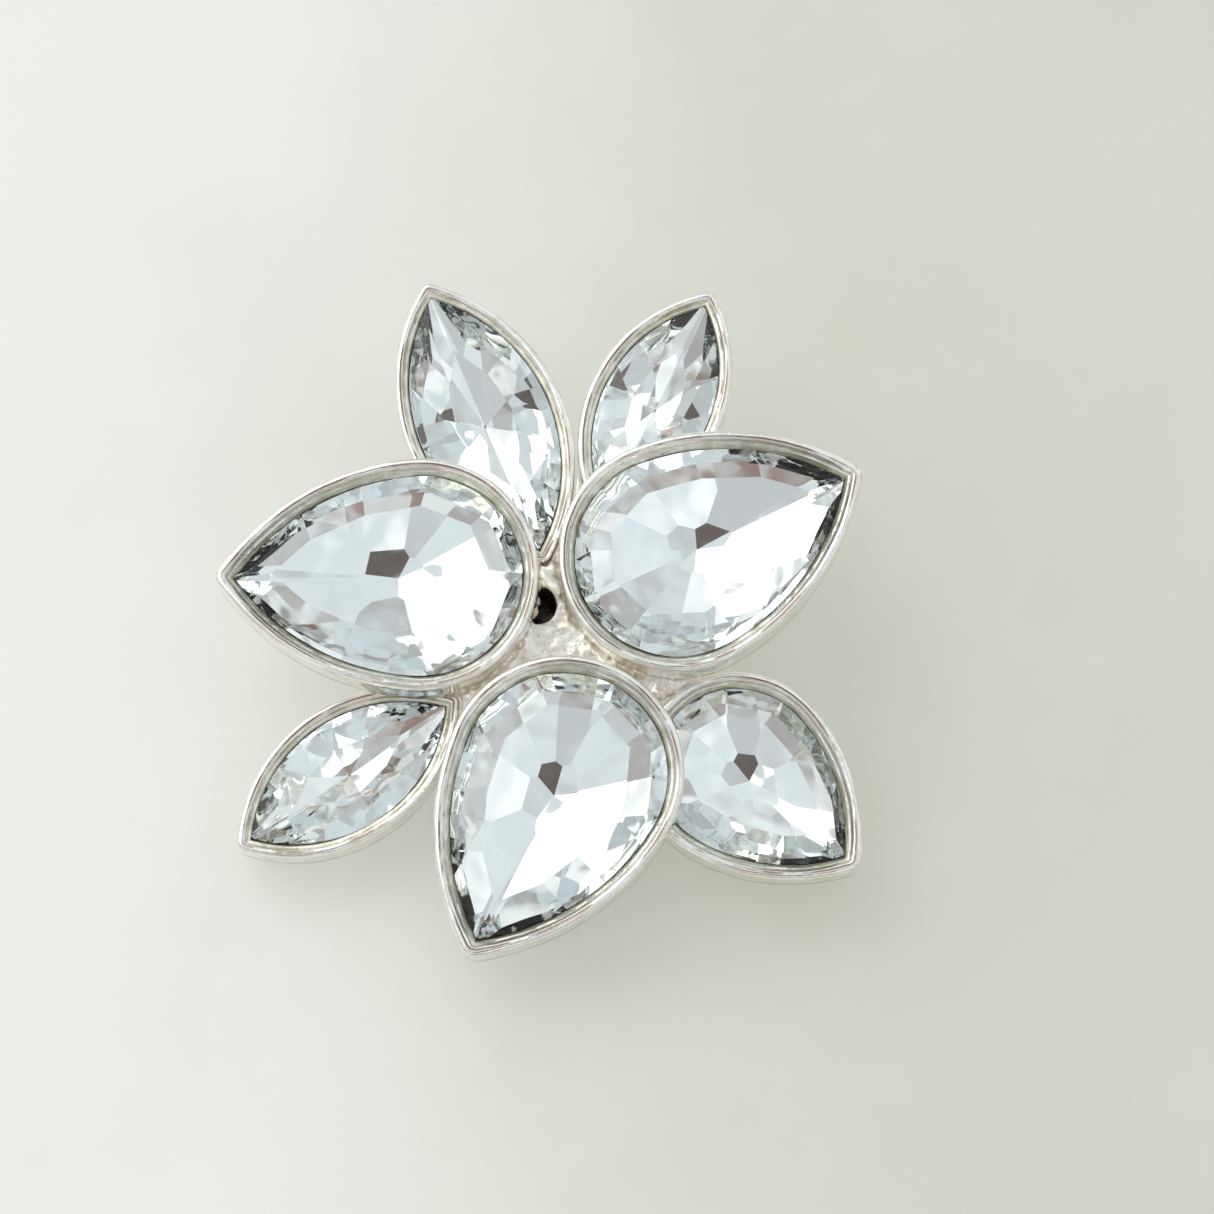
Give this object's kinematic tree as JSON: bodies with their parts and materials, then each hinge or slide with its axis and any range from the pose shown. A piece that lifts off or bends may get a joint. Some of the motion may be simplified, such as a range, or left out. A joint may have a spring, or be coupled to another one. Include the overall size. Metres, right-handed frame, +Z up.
{
  "type": "rhinestone hair clip",
  "caption": "Flower-shaped hair clip: faceted pear and navette rhinestones in silver-plated bezel cups on a sprung alligator clip.",
  "frame": {"origin": "on the table under the middle of the clip's bounding box, standing on the lower jaw's tip and tail", "axes": "+Z up from the table, +Y along the clip from its mouth to its tail, +X to the right seen from the mouth"},
  "size_m": [0.0434, 0.0462, 0.0142],
  "materials": {
    "silver_cup": "bright silver plate over a slightly uneven casting",
    "rhinestone": "clear moulded acrylic with a mirror-foiled back",
    "cement": "hard clear-grey jewellery cement",
    "solder_hub": "rough pitted solder under silver plate",
    "clip_steel": "silver-plated pressed steel",
    "spring_wire": "bright spring wire"
  },
  "bodies": {
    "flower": {"cup_left_pear": "silver_cup", "stone_left_pear": "rhinestone", "cement_left_pear": "cement", "cup_right_pear": "silver_cup", "stone_right_pear": "rhinestone", "cement_right_pear": "cement", "cup_bottom_pear": "silver_cup", "stone_bottom_pear": "rhinestone", "cement_bottom_pear": "cement", "cup_small_pear": "silver_cup", "stone_small_pear": "rhinestone", "cement_small_pear": "cement", "cup_large_navette": "silver_cup", "stone_large_navette": "rhinestone", "cement_large_navette": "cement", "cup_top_navette": "silver_cup", "stone_top_navette": "rhinestone", "cement_top_navette": "cement", "cup_low_navette": "silver_cup", "stone_low_navette": "rhinestone", "cement_low_navette": "cement", "hub_plate": "solder_hub", "upper_jaw": "clip_steel", "hinge_pin": "clip_steel", "torsion_spring": "spring_wire"},
    "lower_jaw": {"lower_jaw": "clip_steel"}
  },
  "joints": [
    {"name": "jaw_hinge", "type": "hinge", "parent": "flower", "child": "lower_jaw", "pos_m": [0.00073, 0.00444, 0.00308], "axis": [1, 0, 0], "range_deg": [0, 32], "stiffness_Nm_per_rad": 0.02, "springref_deg": -34.38, "deforming": ["torsion_spring"]}
  ]
}
